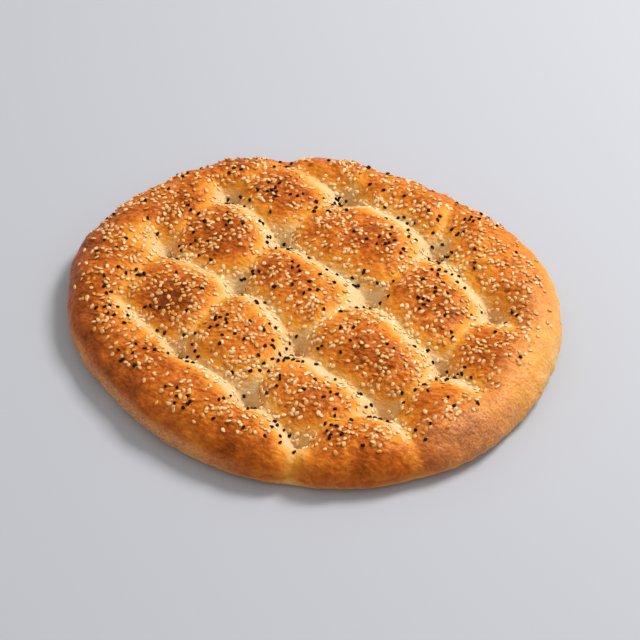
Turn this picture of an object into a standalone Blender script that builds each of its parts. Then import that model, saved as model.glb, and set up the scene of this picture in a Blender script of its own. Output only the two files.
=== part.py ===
"""A pide: one oval, risen flatbread with a grid of pressed grooves and seeds baked onto its top.

Units are metres, +Z is up. The long axis lies along X, the flat underside on Z = 0, and the
origin under the middle of the outline. The lattice of a box open below is drawn onto the crust:
its top becomes the upper crust, its sides the rim and the tucked-under edge.
"""

import math
import random
from collections import namedtuple

import bmesh
import bpy
import numpy as np
from mathutils import Matrix, Vector, noise
from mathutils.bvhtree import BVHTree

MM = 0.001

# Outline from above: a squarish oval with the slow waves that hands leave in it
HALF_LENGTH = 147 * MM
HALF_WIDTH = 122.6 * MM
SQUARENESS = 2.25
Wave = namedtuple("Wave", "count height degrees")
OUTLINE_WAVES = (
    Wave(3, 1.2 * MM, 99),
    Wave(4, 2.9 * MM, 36),
    Wave(5, 1.2 * MM, 177),
)

# Section through the rim
WAIST_HEIGHT = 9 * MM    # the widest line of the edge
UNDER_WIDTH = 8 * MM     # how far the edge tucks in below the waist
RIM_RISE = 18.5 * MM     # from the waist to the top of the rim
RIM_WIDTH = 24 * MM      # from the waist in to the top of the rim
CROWN = 2 * MM           # how much the middle stands above the rim

# Grooves: two families that cross nearly at right angles. A groove is a line at an offset from
# the centre, turned a little from its family, bowed over its length and wandering as it goes,
# from its start to its end along the family's direction. Its sides reach up to the domes, and
# the greater the steepness the narrower its foot.
Groove = namedtuple("Groove", "offset turn bow wander phase start end depth")
Family = namedtuple("Family", "degrees reach steepness grooves")
BOW_SPAN = 100 * MM      # a groove's bow is measured this far from its middle
WANDER_LENGTH = 120 * MM
LONG_GROOVES = Family(-27, 27 * MM, 2.3, (
    Groove(-79.5 * MM, 2.0, -4 * MM, 2.0 * MM, -27, -86 * MM, 84 * MM, 8.2 * MM),
    Groove(-26 * MM, -1.0, -4 * MM, 4.5 * MM, 170, -112 * MM, 130 * MM, 8.5 * MM),
    Groove(26 * MM, -0.5, -3 * MM, 2.0 * MM, 50, -116 * MM, 124 * MM, 8.5 * MM),
    Groove(84 * MM, 0.0, -13 * MM, 3.0 * MM, 100, -112 * MM, 102 * MM, 8.2 * MM),
))
CROSS_GROOVES = Family(66, 24 * MM, 2.2, (
    Groove(98 * MM, 4.0, -11 * MM, 1.0 * MM, 100, -70 * MM, 96 * MM, 5.3 * MM),
    Groove(45.5 * MM, 6.0, -9 * MM, 2.5 * MM, 30, -86 * MM, 112 * MM, 6.7 * MM),
    Groove(-20 * MM, -3.0, -7 * MM, 2.5 * MM, 165, -90 * MM, 102 * MM, 6.9 * MM),
    Groove(-88 * MM, -5.0, 15 * MM, 4.5 * MM, -55, -92 * MM, 80 * MM, 6.7 * MM),
))
# Two short ones run from a pit out over the rim
SHORT_GROOVES = Family(66, 24 * MM, 2.6, (
    Groove(-64 * MM, 24.0, 0 * MM, 0 * MM, 0, 92 * MM, 122 * MM, 4 * MM),
    Groove(-15 * MM, 32.0, 0 * MM, 0 * MM, 0, -126 * MM, -88 * MM, 11 * MM),
))
RUN_OUT = 24 * MM        # a groove's depth fades over this length at each end
CREASE = 1 * MM          # half the width of a groove's rounded floor
SADDLE_SHARE = 0.55      # what is left of a groove across half-way between two along the bread
SADDLE_REACH = 13 * MM   # how far it keeps its full depth from those
PIT_DEPTH = 8 * MM       # a fingertip's extra depth where two grooves cross
PIT_RADIUS = 6 * MM
RIM_FADE = 36 * MM       # the grooves run out over this much of the edge
RIM_SHARE = 0.32         # what is left of their depth at the waist

# Unevenness of the risen dough: size of the lumps and their height
Lumps = namedtuple("Lumps", "size height shift")
DOUGH_LUMPS = (
    Lumps(52 * MM, 1.3 * MM, 3.1),
    Lumps(17 * MM, 0.6 * MM, 11.7),
)

# The crust's mesh
TOP_CELLS = 104          # along each side of the box's top
RIM_ROWS = 18            # down its sides
CRUST_TRIANGLES = 4800

# Seeds fused to the crust: the long ones are sesame, the short ones nigella
Seed = namedtuple("Seed", "name count length width thickness")
SEEDS = (
    Seed("sesame", 125, 3.3 * MM, 2.0 * MM, 1.2 * MM),
    Seed("nigella", 35, 2.8 * MM, 1.7 * MM, 1.4 * MM),
)
SEED_TAPER = 0.35        # how much narrower a seed's pointed end is
SEED_LIFT = 0.22         # its middle stands off the crust by this share of its thickness
SEED_GAP = 9.5 * MM      # between the middles of two seeds
SEED_MARGIN = 24 * MM    # the bare edge outside the seeds
SEED_DRAW = 20
SHARP_EDGE = math.radians(40)


def clear_scene():
    """Remove every object that the scene starts with."""
    for item in list(bpy.data.objects):
        bpy.data.objects.remove(item, do_unlink=True)


def smoothstep(value, low, high):
    """Ramp from 0 at low to 1 at high with level ends."""
    share = np.clip((value - low) / (high - low), 0.0, 1.0)
    return share * share * (3.0 - 2.0 * share)


def outline_radius(angle):
    """Distance from the middle to the waist in each direction."""
    oval = (np.abs(np.cos(angle) / HALF_LENGTH) ** SQUARENESS
            + np.abs(np.sin(angle) / HALF_WIDTH) ** SQUARENESS) ** (-1.0 / SQUARENESS)
    for wave in OUTLINE_WAVES:
        oval = oval + wave.height * np.cos(wave.count * angle - math.radians(wave.degrees))
    return oval


def outline_middle():
    """Middle of the outline's box, which becomes the origin."""
    angle = np.linspace(0.0, 2.0 * math.pi, 1440, endpoint=False)
    radius = outline_radius(angle)
    x = radius * np.cos(angle)
    y = radius * np.sin(angle)
    return np.array([x.min() + x.max(), y.min() + y.max()]) / 2.0


def press_of_family(x, y, family):
    """Depth of one family of grooves, the distance to the nearest and how much of it is there."""
    direction = math.radians(family.degrees)
    along = x * math.cos(direction) + y * math.sin(direction)
    across = y * math.cos(direction) - x * math.sin(direction)
    depth = np.zeros_like(x)
    nearest = np.full_like(x, np.inf)
    present = np.zeros_like(x)
    for groove in family.grooves:
        swing = 2.0 * math.pi * along / WANDER_LENGTH + math.radians(groove.phase)
        line = (groove.offset + along * math.tan(math.radians(groove.turn))
                + groove.bow * (along / BOW_SPAN) ** 2 + groove.wander * np.sin(swing))
        distance = np.abs(across - line)
        rounded = np.sqrt(distance ** 2 + CREASE ** 2) - CREASE
        share = np.clip(1.0 - rounded / family.reach, 0.0, 1.0)
        whole = (smoothstep(along, groove.start - RUN_OUT / 2, groove.start + RUN_OUT / 2)
                 * smoothstep(-along, -groove.end - RUN_OUT / 2, -groove.end + RUN_OUT / 2))
        depth += groove.depth * share ** family.steepness * whole
        present = np.where(distance < nearest, whole, present)
        nearest = np.minimum(nearest, distance)
    return depth, nearest, present


def groove_depth(x, y):
    """Depth of the pressed grooves and of the pits where they cross."""
    long_depth, to_long, long_share = press_of_family(x, y, LONG_GROOVES)
    cross_depth, to_cross, cross_share = press_of_family(x, y, CROSS_GROOVES)
    short_depth, _, _ = press_of_family(x, y, SHORT_GROOVES)
    pit = np.exp(-(np.hypot(to_long, to_cross) / PIT_RADIUS) ** 2) * long_share * cross_share
    saddle = SADDLE_SHARE + (1.0 - SADDLE_SHARE) * np.exp(-(to_long / SADDLE_REACH) ** 2)
    return long_depth + cross_depth * saddle + short_depth + PIT_DEPTH * pit


def dough_lumps(points):
    """Height of the dough's unevenness at each point."""
    heights = np.zeros(len(points))
    for lumps in DOUGH_LUMPS:
        shift = Vector((lumps.shift, lumps.shift / 2.0, -lumps.shift))
        values = [noise.noise(Vector(point) / lumps.size + shift) for point in points]
        heights += 2.0 * lumps.height * np.array(values)
    return heights


def crust_points(lattice):
    """Points of the crust for box lattice coordinates, each from -1 to 1."""
    u, v, w = lattice.T
    disc_x = u * np.sqrt(1.0 - v ** 2 / 2.0)
    disc_y = v * np.sqrt(1.0 - u ** 2 / 2.0)
    angle = np.arctan2(disc_y, disc_x)
    share = np.minimum(np.hypot(disc_x, disc_y), 1.0)
    waist = outline_radius(angle)

    # From the top's edge down the rim to the waist, then in under it
    rim_arc = math.pi / 2.0 * math.hypot(RIM_WIDTH, RIM_RISE) / math.sqrt(2.0)
    under_arc = math.pi / 2.0 * math.hypot(UNDER_WIDTH, WAIST_HEIGHT) / math.sqrt(2.0)
    run = (1.0 - w) / 2.0 * (rim_arc + under_arc)
    rim_turn = math.pi / 2.0 * (1.0 - np.clip(run / rim_arc, 0.0, 1.0))
    under_turn = math.pi / 2.0 * np.clip((run - rim_arc) / under_arc, 0.0, 1.0)
    under = run > rim_arc

    radius = np.where(
        under,
        waist - UNDER_WIDTH * (1.0 - np.cos(under_turn)),
        (waist - RIM_WIDTH) * share + RIM_WIDTH * np.cos(rim_turn),
    )
    height = np.where(
        under,
        WAIST_HEIGHT * (1.0 - np.sin(under_turn)),
        WAIST_HEIGHT + RIM_RISE * np.sin(rim_turn) + CROWN * (1.0 - share ** 2),
    )
    outward = np.where(under, np.cos(under_turn) / UNDER_WIDTH, np.cos(rim_turn) / RIM_WIDTH)
    upward = np.where(under, -np.sin(under_turn) / WAIST_HEIGHT, np.sin(rim_turn) / RIM_RISE)
    size = np.hypot(outward, upward)
    outward = outward / size
    upward = upward / size

    x = radius * np.cos(angle)
    y = radius * np.sin(angle)
    above_base = smoothstep(height, 0.0, WAIST_HEIGHT)
    fade = RIM_SHARE + (1.0 - RIM_SHARE) * smoothstep(waist - radius, 0.0, RIM_FADE)
    press = groove_depth(x, y) * fade
    lumps = dough_lumps(np.stack([x, y, height], axis=1))
    shift = (lumps - press) * above_base
    x = x + shift * outward * np.cos(angle)
    y = y + shift * outward * np.sin(angle)
    height = height + shift * upward
    middle = outline_middle()
    return np.stack([x - middle[0], y - middle[1], np.maximum(height, 0.0)], axis=1)


def box_lattice(cells, rows):
    """A box open below, its top cut into cells and its sides into rows."""
    bm = bmesh.new()
    bmesh.ops.create_cube(bm, size=2.0)
    floor = [face for face in bm.faces if face.normal.z < -0.5]
    bmesh.ops.delete(bm, geom=floor, context="FACES_ONLY")

    def rise(edge):
        return abs(edge.verts[0].co.z - edge.verts[1].co.z)

    level = [edge for edge in bm.edges if rise(edge) < 1.0]
    bmesh.ops.subdivide_edges(bm, edges=level, cuts=cells - 1, use_grid_fill=True)
    upright = [edge for edge in bm.edges if rise(edge) > 1.0]
    bmesh.ops.subdivide_edges(bm, edges=upright, cuts=rows - 1, use_grid_fill=True)
    return bm


def crust_mesh(cells, rows):
    """The whole crust as a closed mesh with a flat underside."""
    bm = box_lattice(cells, rows)
    lattice = np.array([vert.co[:] for vert in bm.verts])
    for vert, point in zip(bm.verts, crust_points(lattice)):
        vert.co = point
    rim = [edge for edge in bm.edges if edge.is_boundary]
    bmesh.ops.edgeloop_fill(bm, edges=rim)
    bmesh.ops.triangulate(bm, faces=bm.faces[:])
    bmesh.ops.recalc_face_normals(bm, faces=bm.faces[:])
    mesh = bpy.data.meshes.new("pide")
    bm.to_mesh(mesh)
    bm.free()
    return mesh


def apply_modifiers(item):
    """Keep the evaluated mesh and drop the modifiers that made it."""
    graph = bpy.context.evaluated_depsgraph_get()
    mesh = bpy.data.meshes.new_from_object(item.evaluated_get(graph))
    old = item.data
    item.modifiers.clear()
    item.data = mesh
    bpy.data.meshes.remove(old)


def make_crust():
    """The bread without its seeds."""
    crust = bpy.data.objects.new("pide", crust_mesh(TOP_CELLS, RIM_ROWS))
    bpy.context.scene.collection.objects.link(crust)
    thin = crust.modifiers.new("fewer triangles", "DECIMATE")
    thin.ratio = CRUST_TRIANGLES / len(crust.data.polygons)
    apply_modifiers(crust)
    return crust


def seed_places(crust):
    """Points and normals for the seeds, spread evenly over the top by a seeded draw."""
    tree = BVHTree.FromObject(crust, bpy.context.evaluated_depsgraph_get())
    draw = random.Random(SEED_DRAW)
    wanted = sum(seed.count for seed in SEEDS)
    inner = float(outline_radius(np.array(0.0)))
    places = []
    while len(places) < wanted:
        x = draw.uniform(-inner, inner)
        y = draw.uniform(-inner, inner)
        edge = float(outline_radius(np.array(math.atan2(y, x))))
        if math.hypot(x, y) > edge - SEED_MARGIN:
            continue
        point, normal, _, _ = tree.ray_cast(Vector((x, y, 1.0)), Vector((0.0, 0.0, -1.0)))
        if any((point - other).length < SEED_GAP for other, _ in places):
            continue
        places.append((point, normal))
    return places


def make_seed(seed, point, normal, yaw, collection):
    """One seed: a flattened drop lying on the crust."""
    bm = bmesh.new()
    bmesh.ops.create_icosphere(bm, subdivisions=1, radius=0.5)
    for vert in bm.verts:
        narrow = 1.0 - SEED_TAPER * (vert.co.x + 0.5)
        vert.co.y *= narrow
    mesh = bpy.data.meshes.new(seed.name)
    lie = normal.to_track_quat("Z", "Y").to_matrix().to_4x4()
    size = Matrix.Diagonal((seed.length, seed.width, seed.thickness, 1.0))
    centre = Matrix.Translation(point + normal * seed.thickness * SEED_LIFT)
    bm.transform(centre @ lie @ Matrix.Rotation(yaw, 4, "Z") @ size)
    bm.to_mesh(mesh)
    bm.free()
    collection.objects.link(bpy.data.objects.new(seed.name, mesh))


def fuse_seeds(crust):
    """Join the seeds to the crust in one union."""
    seeds = bpy.data.collections.new("seeds")
    bpy.context.scene.collection.children.link(seeds)
    places = iter(seed_places(crust))
    draw = random.Random(SEED_DRAW + 1)
    for seed in SEEDS:
        for _ in range(seed.count):
            point, normal = next(places)
            make_seed(seed, point, normal, draw.uniform(0.0, 2.0 * math.pi), seeds)
    union = crust.modifiers.new("seeds", "BOOLEAN")
    union.operation = "UNION"
    union.operand_type = "COLLECTION"
    union.collection = seeds
    union.solver = "EXACT"
    apply_modifiers(crust)
    for item in list(seeds.objects):
        bpy.data.objects.remove(item, do_unlink=True)
    bpy.data.collections.remove(seeds)


def baked_crust():
    """Golden brown baked crust with a thin egg glaze."""
    material = bpy.data.materials.new("baked crust")
    material.use_nodes = True
    shader = material.node_tree.nodes["Principled BSDF"]
    shader.inputs["Base Color"].default_value = (0.50, 0.21, 0.05, 1.0)
    shader.inputs["Roughness"].default_value = 0.45
    shader.inputs["Metallic"].default_value = 0.0
    return material


def main():
    clear_scene()
    pide = make_crust()
    fuse_seeds(pide)
    pide.data.materials.clear()
    pide.data.materials.append(baked_crust())
    pide.data.shade_smooth()
    pide.data.set_sharp_from_angle(angle=SHARP_EDGE)


if __name__ == "__main__":
    main()
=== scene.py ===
"""A pide dressed for the picture: its baked crust, its sesame and nigella, and a plain stage.

Lengths are in metres, in the frame's own axes: +X along the bread, +Z up out of its seeded top,
the origin under the middle of its flat underside. An angle of 0 degrees points along +X.
"""

import math
from collections import namedtuple

import bmesh
import bpy
import numpy as np
from bpy.props import FloatProperty, FloatVectorProperty, IntProperty, PointerProperty
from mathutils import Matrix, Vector, noise


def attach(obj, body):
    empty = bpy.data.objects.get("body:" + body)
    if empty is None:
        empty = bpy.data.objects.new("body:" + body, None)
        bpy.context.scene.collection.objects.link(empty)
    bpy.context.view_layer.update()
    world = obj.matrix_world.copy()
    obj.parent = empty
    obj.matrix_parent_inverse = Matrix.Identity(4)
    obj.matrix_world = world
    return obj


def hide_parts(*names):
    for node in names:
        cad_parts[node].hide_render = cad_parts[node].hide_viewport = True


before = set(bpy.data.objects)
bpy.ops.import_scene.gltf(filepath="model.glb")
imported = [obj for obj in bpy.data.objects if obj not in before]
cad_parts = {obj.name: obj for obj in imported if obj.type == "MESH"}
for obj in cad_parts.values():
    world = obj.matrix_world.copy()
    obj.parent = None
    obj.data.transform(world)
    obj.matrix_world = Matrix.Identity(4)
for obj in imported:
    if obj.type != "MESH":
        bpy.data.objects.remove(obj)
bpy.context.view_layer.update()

bl_info = {
    "name": "Pide",
    "version": (1, 0, 0),
    "blender": (4, 5, 0),
    "location": "View3D > Sidebar > Pide",
    "description": "Bakes an oval pide flatbread with sesame and nigella and sets it on a plain stage",
    "category": "Object",
}

MM = 0.001

# Slow waves that hands leave in the outline
Wave = namedtuple("Wave", "count height degrees")
OUTLINE_WAVES = (
    Wave(3, 1.2 * MM, 99),
    Wave(4, 2.9 * MM, 36),
    Wave(5, 1.2 * MM, 177),
)

# Grooves: two families that cross nearly at right angles. A groove is a line at an offset from
# the centre, turned a little from its family, bowed over its length and wandering as it goes,
# from its start to its end along the family's direction. Its sides reach up to the domes, and
# the greater the steepness the narrower its foot. The fold is the extra depth of its sharp floor.
Groove = namedtuple("Groove", "offset turn bow wander phase start end depth")
Family = namedtuple("Family", "degrees reach steepness fold grooves")
BOW_SPAN = 100 * MM
WANDER_LENGTH = 120 * MM
LONG_GROOVES = Family(-27, 27 * MM, 2.3, 0.8 * MM, (
    Groove(-79.5 * MM, 2.0, -4 * MM, 2.0 * MM, -27, -86 * MM, 84 * MM, 7.2 * MM),
    Groove(-26 * MM, -1.0, -4 * MM, 4.5 * MM, 170, -112 * MM, 130 * MM, 7.5 * MM),
    Groove(26 * MM, -0.5, -3 * MM, 2.0 * MM, 50, -116 * MM, 124 * MM, 7.5 * MM),
    Groove(84 * MM, 0.0, -13 * MM, 3.0 * MM, 100, -112 * MM, 102 * MM, 7.2 * MM),
))
CROSS_GROOVES = Family(66, 24 * MM, 2.2, 0.4 * MM, (
    Groove(98 * MM, 4.0, -11 * MM, 1.0 * MM, 100, -70 * MM, 96 * MM, 5 * MM),
    Groove(45.5 * MM, 6.0, -9 * MM, 2.5 * MM, 30, -86 * MM, 112 * MM, 6.4 * MM),
    Groove(-20 * MM, -3.0, -7 * MM, 2.5 * MM, 165, -90 * MM, 102 * MM, 6.6 * MM),
    Groove(-88 * MM, -5.0, 15 * MM, 4.5 * MM, -55, -92 * MM, 80 * MM, 6.4 * MM),
))
SHORT_GROOVES = Family(66, 24 * MM, 2.6, 0.8 * MM, (
    Groove(-64 * MM, 24.0, 0 * MM, 0 * MM, 0, 92 * MM, 122 * MM, 4 * MM),
    Groove(-15 * MM, 32.0, 0 * MM, 0 * MM, 0, -126 * MM, -88 * MM, 11 * MM),
))
RUN_OUT = 24 * MM        # a groove's depth fades over this length at each end
FOLD_WIDTH = 3 * MM      # the dough folds sharply this close to a groove's floor
SADDLE_SHARE = 0.55      # what is left of a groove across half-way between two along the bread
SADDLE_REACH = 13 * MM   # how far it keeps its full depth from those
PIT_POWER = 1.4          # how a pit's side falls: 1 is a sharp point, 2 a rounded bell
RIM_FADE = 36 * MM       # the grooves run out over this much of the edge
RIM_SHARE = 0.32         # what is left of their depth at the waist
OUTLINE_STEPS = 1440     # directions in which the outline's box is measured

# The grooves shade their dough from the oven, by their depth
PAINTED_LIGHT_SHIFT = 2.2 * MM   # the pale bands lie this much farther towards -X and -Y than the grooves, which paints the flanks that face the main light paler and those that face away from it browner: painted light and shade
                         # because the oven browned the flanks that face that way more
CROSS_SHADE = 1.2        # a groove across the bread shades by this many times its depth
PIT_SHADE = 0.2          # and a pit by this many times

# Soft lumps: how wide they are, how much they add, and a shift that picks their pattern. They
# raise the dough, brown it, and thicken the seeds and the share of nigella among them.
Lumps = namedtuple("Lumps", "size height shift")
DOUGH_LUMPS = (
    Lumps(52 * MM, 1.3 * MM, 3.1),
    Lumps(17 * MM, 0.6 * MM, 11.7),
    Lumps(8 * MM, 0.3 * MM, 7.3),
)
BAKE_LUMPS = (
    Lumps(30 * MM, 0.07, 5.3),
    Lumps(9 * MM, 0.065, 1.9),
)
SEED_LUMPS = (Lumps(15 * MM, 0.45, 21.4),)
NIGELLA_LUMPS = (Lumps(15 * MM, 0.30, 31.2),)

# Where the oven browned the crust more (or, below zero, less) than around it. On the domes they sit a little
# towards the side away from the main light, so they paint some shade there too.
Toast = namedtuple("Toast", "x y radius heat")
TOASTS_AND_SHADE = (
    Toast(-77 * MM, -30 * MM, 17 * MM, 0.34),
    Toast(-66 * MM, 30 * MM, 19 * MM, 0.14),
    Toast(-40 * MM, 74 * MM, 17 * MM, 0.05),
    Toast(-99 * MM, 44 * MM, 16 * MM, 0.22),
    Toast(20 * MM, 58 * MM, 19 * MM, 0.20),
    Toast(80 * MM, 14 * MM, 19 * MM, 0.12),
    Toast(58 * MM, -32 * MM, 17 * MM, 0.13),
    Toast(102 * MM, 60 * MM, 17 * MM, -0.04),
    Toast(111 * MM, -7 * MM, 13 * MM, 0.12),
    Toast(-5 * MM, 8 * MM, 17 * MM, 0.06),
    Toast(66 * MM, -94 * MM, 16 * MM, 0.10),
    Toast(-35 * MM, -84 * MM, 15 * MM, 0.12),
    Toast(-20 * MM, 101 * MM, 14 * MM, -0.07),
    Toast(-78 * MM, 94 * MM, 14 * MM, 0.10),
    Toast(-132 * MM, -18 * MM, 26 * MM, 0.06),
    Toast(-84 * MM, -40 * MM, 12 * MM, 0.12),
    Toast(-113 * MM, 12 * MM, 10 * MM, -0.36),
    Toast(33 * MM, -111 * MM, 7 * MM, -0.42),
    # These two darken the front side below the rim where it lies in shade: painted shade
    Toast(-3 * MM, -125 * MM, 11 * MM, 0.10),
    Toast(69 * MM, -110 * MM, 11 * MM, 0.06),
)


def to_linear(code):
    """Linear RGBA of an sRGB hex value such as "db863e"."""
    shares = [int(code[i:i + 2], 16) / 255.0 for i in (0, 2, 4)]
    return tuple(s / 12.92 if s <= 0.04045 else ((s + 0.055) / 1.055) ** 2.4 for s in shares) + (1.0,)


def length(name, millimetres, description):
    """A size that a user may change."""
    return FloatProperty(name=name, description=description, default=millimetres * MM, min=0.0,
                         precision=4, unit="LENGTH")


def share(name, default, description, most=1.0):
    """A plain number from nothing to its most."""
    return FloatProperty(name=name, description=description, default=default, min=0.0, max=most)


def colour(name, code, description):
    """A colour that a user may change."""
    return FloatVectorProperty(name=name, description=description, default=to_linear(code), size=4,
                               min=0.0, max=1.0, subtype="COLOR")


def turn(name, degrees, description):
    """An angle that a user may change."""
    return FloatProperty(name=name, description=description, default=math.radians(degrees),
                         subtype="ANGLE")


class PideBread(bpy.types.PropertyGroup):
    """Sizes of the bread and of the relief on its crust."""

    half_length: length("Half length", 147.0, "From the middle out to the waist, along the bread")
    half_width: length("Half width", 122.6, "From the middle out to the waist, across the bread")
    squareness: share("Squareness", 2.25, "2 is an oval, more fills out its corners", 4.0)
    waist_height: length("Waist height", 9.0, "Height of the edge's widest line")
    under_width: length("Tuck", 8.0, "How far the edge tucks in below its waist")
    rim_rise: length("Rim rise", 18.5, "From the waist up to the top of the rim")
    rim_width: length("Rim width", 24.0, "From the waist in to the top of the rim")
    crown: length("Crown", 2.0, "How much the middle stands above the rim")
    crease: length("Crease", 0.5, "Half the width of a groove's rounded floor")
    pit_depth: length("Pit depth", 10.0, "A fingertip's extra depth where two grooves cross")
    pit_radius: length("Pit radius", 5.5, "Radius of a fingertip's pit")
    wrinkle_size: length("Wrinkle size", 3.6, "Spacing of the crust's fine wrinkles")
    wrinkle_height: length("Wrinkle height", 0.24, "Height of the fine wrinkles")
    blister_size: length("Blister spacing", 7.0, "Spacing of the small blisters")
    blister_height: length("Blister height", 0.45, "Height of the small blisters")


class PideSprinkling(bpy.types.PropertyGroup):
    """How the two kinds of seed are strewn and how large they are."""

    gap: length("Gap", 1.7, "Least distance between two seeds' middles")
    count: share("Seeds to a square centimetre", 13.0, "Seeds where they lie thickest", 90.0)
    pattern: IntProperty(name="Pattern", description="Number of the random pattern", default=7, min=0)
    sesame_length: length("Sesame length", 3.3, "Length of a sesame seed")
    sesame_width: length("Sesame width", 2.85, "Width of a sesame seed")
    sesame_thickness: length("Sesame thickness", 1.25, "Thickness of a sesame seed")
    nigella_length: length("Nigella length", 2.8, "Length of a nigella seed")
    nigella_width: length("Nigella width", 2.4, "Width of a nigella seed")
    nigella_thickness: length("Nigella thickness", 2.0, "Thickness of a nigella seed")


class PideColours(bpy.types.PropertyGroup):
    """Colours of the crust from its palest to its darkest, and of the seeds and the floor."""

    cream: colour("Cream", "dabc8c", "Unbrowned dough deep in the grooves")
    straw: colour("Straw", "dfa962", "First colour on the grooves' sides")
    gold: colour("Gold", "dc8f2c", "Sides of the domes")
    amber: colour("Amber", "d07520", "Tops of the domes")
    brown: colour("Brown", "af5210", "Well-browned tops")
    toast: colour("Toast", "6c2b05", "Darkest toasted spots")
    # Also the pale colour that paints sheen on the right of the edge and light in the deepest pits
    flour_and_light: colour("Flour", "e9cf9c", "Flour that still lies on the dough")
    sesame_pale: colour("Pale sesame", "ffecb6", "The palest sesame")
    sesame_golden: colour("Golden sesame", "cf8630", "Glazed and toasted sesame")
    nigella: colour("Nigella", "0b0806", "Nigella seeds")
    floor: colour("Floor", "afb0b5", "The plain floor")


class PideStage(bpy.types.PropertyGroup):
    """The camera and the lights."""

    azimuth: turn("Azimuth", 19.0, "Direction of the camera round the bread")
    elevation: turn("Elevation", 49.0, "Height of the camera above the horizon")
    distance: length("Distance", 1300.0, "From the camera to the bread")
    lens: share("Lens", 119.9, "Focal length in millimetres", 500.0)
    key_azimuth: turn("Key azimuth", 143.0, "Direction of the main light round the bread")
    key_elevation: turn("Key elevation", 52.0, "Height of the main light")
    key_power: share("Key power", 25.5, "Power of the main light in watts", 1000.0)
    fill_power: share("Fill power", 3.2, "Power of the fill light in watts", 1000.0)
    side_power: share("Side power", 4.0, "Power of the light on the right in watts", 1000.0)
    sky: share("Sky", 0.52, "Strength of the even light all round", 10.0)


def smoothstep(value, low, high):
    """Ramp from 0 at low to 1 at high with level ends."""
    part = np.clip((value - low) / (high - low), 0.0, 1.0)
    return part * part * (3.0 - 2.0 * part)


def clouds(points, size, shift):
    """Soft noise from about -1 to 1 at each point, its lumps of the given size."""
    offset = Vector((shift, shift / 2.0, -shift))
    return 2.0 * np.array([noise.noise(Vector(point) / size + offset) for point in points])


def unevenness(points, layers):
    """Layers of soft lumps on top of one another."""
    return sum(lumps.height * clouds(points, lumps.size, lumps.shift) for lumps in layers)


# ---------------------------------------------------------------- the bread's shape


def outline_radius(bread, angle):
    """Distance from the middle to the waist in each direction."""
    oval = (np.abs(np.cos(angle) / bread.half_length) ** bread.squareness
            + np.abs(np.sin(angle) / bread.half_width) ** bread.squareness) ** (-1.0 / bread.squareness)
    for wave in OUTLINE_WAVES:
        oval = oval + wave.height * np.cos(wave.count * angle - math.radians(wave.degrees))
    return oval


def outline_middle(bread):
    """Middle of the outline's box, which becomes the origin."""
    angle = np.linspace(0.0, 2.0 * math.pi, OUTLINE_STEPS, endpoint=False)
    radius = outline_radius(bread, angle)
    x = radius * np.cos(angle)
    y = radius * np.sin(angle)
    return np.array([x.min() + x.max(), y.min() + y.max()]) / 2.0


def press_of_family(bread, x, y, family):
    """Depth of one family of grooves, the distance to the nearest and how much of it is there."""
    heading = math.radians(family.degrees)
    along = x * math.cos(heading) + y * math.sin(heading)
    across = y * math.cos(heading) - x * math.sin(heading)
    depth = np.zeros_like(x)
    nearest = np.full_like(x, np.inf)
    present = np.zeros_like(x)
    for groove in family.grooves:
        swing = 2.0 * math.pi * along / WANDER_LENGTH + math.radians(groove.phase)
        line = (groove.offset + along * math.tan(math.radians(groove.turn))
                + groove.bow * (along / BOW_SPAN) ** 2 + groove.wander * np.sin(swing))
        distance = np.abs(across - line)
        rounded = np.sqrt(distance ** 2 + bread.crease ** 2) - bread.crease
        rise = np.clip(1.0 - rounded / family.reach, 0.0, 1.0)
        whole = (smoothstep(along, groove.start - RUN_OUT / 2, groove.start + RUN_OUT / 2)
                 * smoothstep(-along, -groove.end - RUN_OUT / 2, -groove.end + RUN_OUT / 2))
        folded = family.fold * np.exp(-rounded / FOLD_WIDTH)
        depth += (groove.depth * rise ** family.steepness + folded) * whole
        present = np.where(distance < nearest, whole, present)
        nearest = np.minimum(nearest, distance)
    return depth, nearest, present


def groove_depth(bread, x, y):
    """Depth of the grooves along the bread, of those across it, and of the pits where they meet."""
    long_depth, to_long, long_share = press_of_family(bread, x, y, LONG_GROOVES)
    cross_depth, to_cross, cross_share = press_of_family(bread, x, y, CROSS_GROOVES)
    short_depth, _, _ = press_of_family(bread, x, y, SHORT_GROOVES)
    to_crossing = np.hypot(to_long, to_cross)
    pit = np.exp(-(to_crossing / bread.pit_radius) ** PIT_POWER) * long_share * cross_share
    saddle = SADDLE_SHARE + (1.0 - SADDLE_SHARE) * np.exp(-(to_long / SADDLE_REACH) ** 2)
    return long_depth, cross_depth * saddle + short_depth, bread.pit_depth * pit


def quarter_arc(width, height):
    """Length of a quarter of an oval, nearly."""
    return math.pi / 2.0 * math.hypot(width, height) / math.sqrt(2.0)


Loaf = namedtuple("Loaf", "angle radius height outward upward inset under")


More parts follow.
